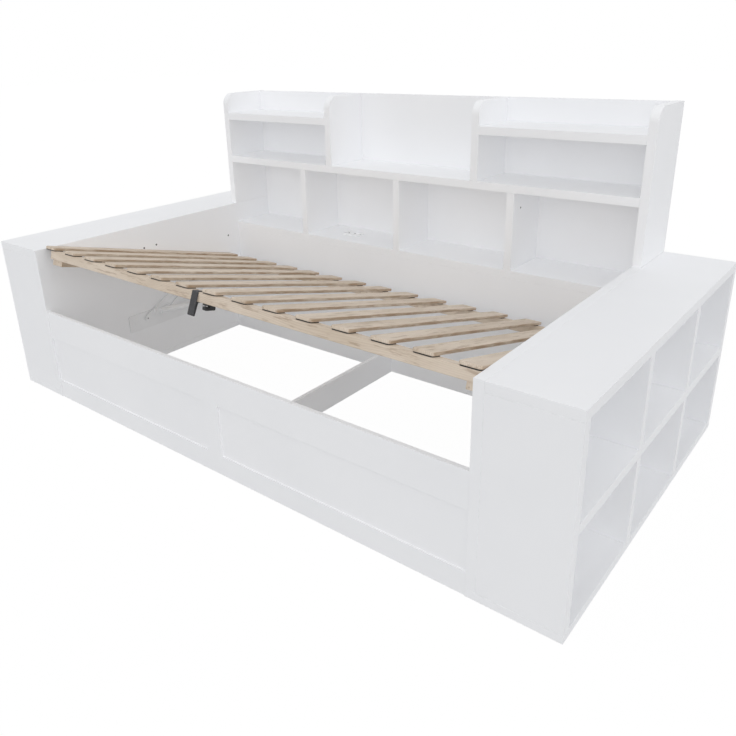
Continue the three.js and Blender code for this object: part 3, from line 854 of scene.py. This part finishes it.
def ribbon(line, left, width):
    """A woven band swept along a line in the (y, z) plane."""
    shape = bmesh.new()
    weave = shape.verts.layers.float_vector.new("weave")
    shape.faces.layers.float.new("edge")
    section = band_section(width, STRAP_THICKNESS / 2)
    rings = []
    travelled = 0.0
    for index, point in enumerate(line):
        before = Vector(line[max(index - 1, 0)])
        after = Vector(line[min(index + 1, len(line) - 1)])
        tangent = (after - before).normalized()
        normal = Vector((-tangent.y, tangent.x))
        if index:
            travelled += (Vector(point) - before).length
        ring = []
        for across, out in section:
            place = Vector(point) + normal * out
            vertex = shape.verts.new((left + across, place.x, place.y))
            vertex[weave] = Vector((travelled, across, out))
            ring.append(vertex)
        rings.append(ring)
    for near, far in zip(rings, rings[1:]):
        for index in range(len(section)):
            shape.faces.new([near[index - 1], near[index], far[index], far[index - 1]])
    shape.faces.new(rings[0])
    shape.faces.new(rings[-1])
    bmesh.ops.recalc_face_normals(shape, faces=shape.faces)
    return shape


def make_pull_strap():
    """The strap: its ends stay on the rail, and its loop, which gets a mesh of its own, hangs from
    it.
    """
    low, high = platform_box("pull_strap")
    face = low.y + STRAP_THICKNESS
    for name, line in (("top", strap_top_line(face)), ("loop", strap_loop_line(face)),
                       ("tail", strap_tail_line(face))):
        shape = ribbon(line, low.x, high.x - low.x)
        shape.transform(PLATFORM)
        piece = finished(
            shape, f"pull_strap_{name}", webbing, "platform", ["pull_strap"])
        if name == "loop":
            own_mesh(piece)
    middle = (low.x + high.x) / 2
    apart = (high.x - low.x) / 4
    for index, x in enumerate((middle - apart, middle + apart)):
        place = Vector((x, face + STRAP_FLAP * 0.6, STRAP_THICKNESS + STRAP_GAP))
        make_screw(f"strap_screw_{index + 1}", PLATFORM @ Matrix.Translation(place),
                   "platform", STRAP_SCREW_RADIUS, STRAP_SCREW_HEIGHT)


# Screws and the cable outlet


def make_screw(name, place, body, radius=SCREW_RADIUS, proud=SCREW_HEIGHT):
    """A low screw head with a cross recess, standing on the XY plane of place."""
    rings = 9
    steps = 40
    slot_half = radius * 0.13
    slot_reach = radius * 0.62
    slot_floor = 0.35
    flatness = 3.2
    shape = bmesh.new()
    shape.faces.layers.float.new("edge")
    grid = []
    for ring in range(rings + 1):
        share = ring / rings
        row = []
        for step in range(steps):
            angle = 2 * math.pi * step / steps
            x = radius * share * math.cos(angle)
            y = radius * share * math.sin(angle)
            height = proud * math.sqrt(max(0.0, 1 - share ** flatness))
            in_slot = min(abs(x), abs(y)) < slot_half and max(abs(x), abs(y)) < slot_reach
            row.append(shape.verts.new((x, y, height * (slot_floor if in_slot else 1))))
        grid.append(row)
    for near, far in zip(grid, grid[1:]):
        for step in range(steps):
            shape.faces.new([near[step - 1], near[step], far[step], far[step - 1]])
    shape.faces.new(grid[-1])
    bmesh.ops.remove_doubles(shape, verts=shape.verts, dist=WELD / 10)
    bmesh.ops.recalc_face_normals(shape, faces=shape.faces)
    shape.transform(place)
    return finished(shape, name, rivet_steel, body)


def make_wall_screws():
    """The screws that show in the cabinets' inner panels and in the third lower divider."""
    for prefix, x, facing in (("left", -BED_HALF, FACING_RIGHT), ("right", BED_HALF, FACING_LEFT)):
        for index, (y, z) in enumerate(WALL_SCREWS):
            place = Matrix.Translation((x, y, z)) @ facing
            make_screw(f"{prefix}_wall_screw_{index + 1}", place, "bed_frame")
    right_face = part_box("bookcase_lower_divider_3")[1].x
    place = Matrix.Translation((right_face, *DIVIDER_SCREW)) @ FACING_RIGHT
    make_screw("divider_screw", place, "bed_frame", DIVIDER_SCREW_RADIUS)


def outlet_outline(inset, height):
    """The cable outlet's outline, moved in from its outside and up from the shelf."""
    corner = Vector((OUTLET_LENGTH / 2 - inset, OUTLET_DEPTH / 2 - inset, 0))
    low = OUTLET_CENTRE - corner + Vector((0, 0, height))
    return rounded_plan(low, OUTLET_CENTRE + corner, OUTLET_CORNER - inset)


def make_outlet_lip():
    """The raised lip round the cable outlet."""
    lip = bmesh.new()
    sections = ((0, 0), (0, OUTLET_LIP), (OUTLET_LIP_WIDTH, OUTLET_LIP), (OUTLET_LIP_WIDTH, 0))
    loops = [[lip.verts.new(point) for point in outlet_outline(*section)] for section in sections]
    for index in range(len(loops)):
        near, far = loops[index - 1], loops[index]
        for step in range(len(near)):
            lip.faces.new([near[step - 1], near[step], far[step], far[step - 1]])
    bmesh.ops.recalc_face_normals(lip, faces=lip.faces)
    round_edges(lip, LIP_EDGE)
    finished(lip, "outlet_lip", white_plastic, "bed_frame")


def make_outlet_hole_shades():
    """Black discs a little proud of the cap, in a row along its rear, painted as the shade inside the
    cable holes.
    """
    half = Vector((OUTLET_HOLE / 2, OUTLET_HOLE / 2, 0))
    for index in range(OUTLET_HOLES):
        along = (index - (OUTLET_HOLES - 1) / 2) * OUTLET_HOLE_PITCH
        low = OUTLET_CENTRE + Vector((along, OUTLET_HOLE_REAR, 0)) - half
        outline = rounded_plan(low, low + half * 2, OUTLET_HOLE / 3)
        hole_shade = prism(outline, Vector((0, 0, OUTLET_CAP + OUTLET_HOLE_PROUD)))
        round_edges(hole_shade, HOLE_EDGE, 1)
        finished(hole_shade, f"outlet_hole_{index + 1}", black_plastic, "bed_frame")


def make_cable_outlet():
    """A cable outlet on the bottom shelf: a lip, a cap, and black discs painted as the shade of its
    cable holes.
    """
    make_outlet_lip()
    outline = outlet_outline(OUTLET_LIP_WIDTH + OUTLET_CAP_GAP, 0)
    cap = prism(outline, Vector((0, 0, OUTLET_CAP)))
    round_edges(cap, CAP_EDGE)
    finished(cap, "outlet_cap", white_plastic, "bed_frame")
    make_outlet_hole_shades()


# Lift gear


def screw_pivot_heads(piece, prefix):
    """Sets a small dark screw in the middle of each pivot head of a lift base."""
    facing = FACING_RIGHT if prefix == "left" else FACING_LEFT
    heads = [face for face in piece.data.polygons
             if BED_HALF - abs(face.center.x) > HEAD_HEIGHT and face.area > HEAD_AREA]
    for index, face in enumerate(heads):
        place = Matrix.Translation(face.center) @ facing
        make_screw(f"{prefix}_pivot_screw_{index + 1}", place,
                   "bed_frame", PIVOT_SCREW_RADIUS, PIVOT_SCREW_HEIGHT)


def dress_lift(prefix):
    """One end's base plate, link, arm, bracket and gas strut."""
    for node in (f"{prefix}_lift_base", f"{prefix}_front_link", f"{prefix}_rear_arm",
                 f"{prefix}_lift_bracket"):
        piece = dressed(node, painted_steel, STEEL_EDGE, shade_edges=True)
        if node.endswith("lift_base"):
            screw_pivot_heads(piece, prefix)
    dressed(f"{prefix}_gas_cylinder", painted_steel, CYLINDER_EDGE)
    dressed(f"{prefix}_gas_rod", polished_steel, STEEL_EDGE)


# Studio


def make_floor():
    """A wide plain floor."""
    shape = bmesh.new()
    bmesh.ops.create_grid(shape, x_segments=4, y_segments=4, size=FLOOR_HALF)
    mesh = bpy.data.meshes.new("studio_floor")
    shape.to_mesh(mesh)
    shape.free()
    mesh.materials.append(make_floor_finish())
    floor = bpy.data.objects.new("studio_floor", mesh)
    bpy.context.scene.collection.objects.link(floor)


def soft_lamp(name, direction, strength, shadows=True):
    """A wide, far lamp that shines from a direction; a fill lamp casts no shadows."""
    light = bpy.data.lights.new(name, "SUN")
    light.angle = math.radians(LAMP_SPREAD)
    light.energy = strength
    light.use_shadow = shadows
    lamp = bpy.data.objects.new(name, light)
    lamp.rotation_euler = Vector(direction).to_track_quat("Z", "Y").to_euler()
    bpy.context.scene.collection.objects.link(lamp)


class Sky(Finish):
    """The studio's walls, as the world shader."""

    def __init__(self):
        self.world = bpy.data.worlds.new("studio")
        bpy.context.scene.world = self.world
        self.world.use_nodes = True
        self.tree = self.world.node_tree
        self.tree.nodes.clear()

    def close(self, light):
        """White where it is seen directly, and plain soft light otherwise."""
        walls = self.node("ShaderNodeBackground", {}, {
            "Color": colour(STUDIO_WHITE), "Strength": 1.0})
        glow = self.node("ShaderNodeBackground", {}, {
            "Color": colour(SKY_TINT), "Strength": light})
        mixed = self.node("ShaderNodeMixShader", {}, {0: seen_directly(self), 1: glow, 2: walls})
        output = self.tree.nodes.new("ShaderNodeOutputWorld")
        self.tree.links.new(mixed.socket, output.inputs["Surface"])


def make_light():
    """Soft walls all round, one faint lamp, and fills that light each side evenly."""
    Sky().close(SKY_LIGHT)
    soft_lamp("front_lamp", (0.1, -1, 0.2), strength=0.12)
    soft_lamp("front_fill", (0.07, -1, 0.14), strength=0.60, shadows=False)
    soft_lamp("side_fill", (1, -0.09, 0.14), strength=0.60, shadows=False)
    soft_lamp("top_fill", (0, -0.03, 1), strength=0.42, shadows=False)


def make_camera():
    """The camera, turned from the front, raised and rolled by the named angles."""
    turn = math.radians(CAMERA_TURN)
    height = math.radians(CAMERA_HEIGHT)
    roll = math.radians(CAMERA_ROLL)
    back = Vector((math.sin(turn) * math.cos(height), -math.cos(turn) * math.cos(height),
                   math.sin(height)))
    level = Vector((math.cos(turn), math.sin(turn), 0))
    upright = back.cross(level)
    right = math.cos(roll) * level + math.sin(roll) * upright
    up = math.cos(roll) * upright - math.sin(roll) * level
    data = bpy.data.cameras.new("camera")
    data.lens = CAMERA_LENS
    data.sensor_width = CAMERA_SENSOR
    data.shift_x, data.shift_y = CAMERA_SHIFT
    camera = bpy.data.objects.new("camera", data)
    facing = Matrix((right, up, back)).transposed().to_4x4()
    camera.matrix_world = Matrix.Translation(CAMERA_PLACE) @ facing
    bpy.context.scene.collection.objects.link(camera)
    bpy.context.scene.camera = camera


dress_boards()
make_platform()
make_pull_strap()
dressed("rail_clip", black_plastic, CLIP_EDGE)
make_wall_screws()
make_cable_outlet()
dress_lift("left")
dress_lift("right")
make_floor()
make_light()
make_camera()
bpy.context.scene.view_settings.view_transform = "Standard"
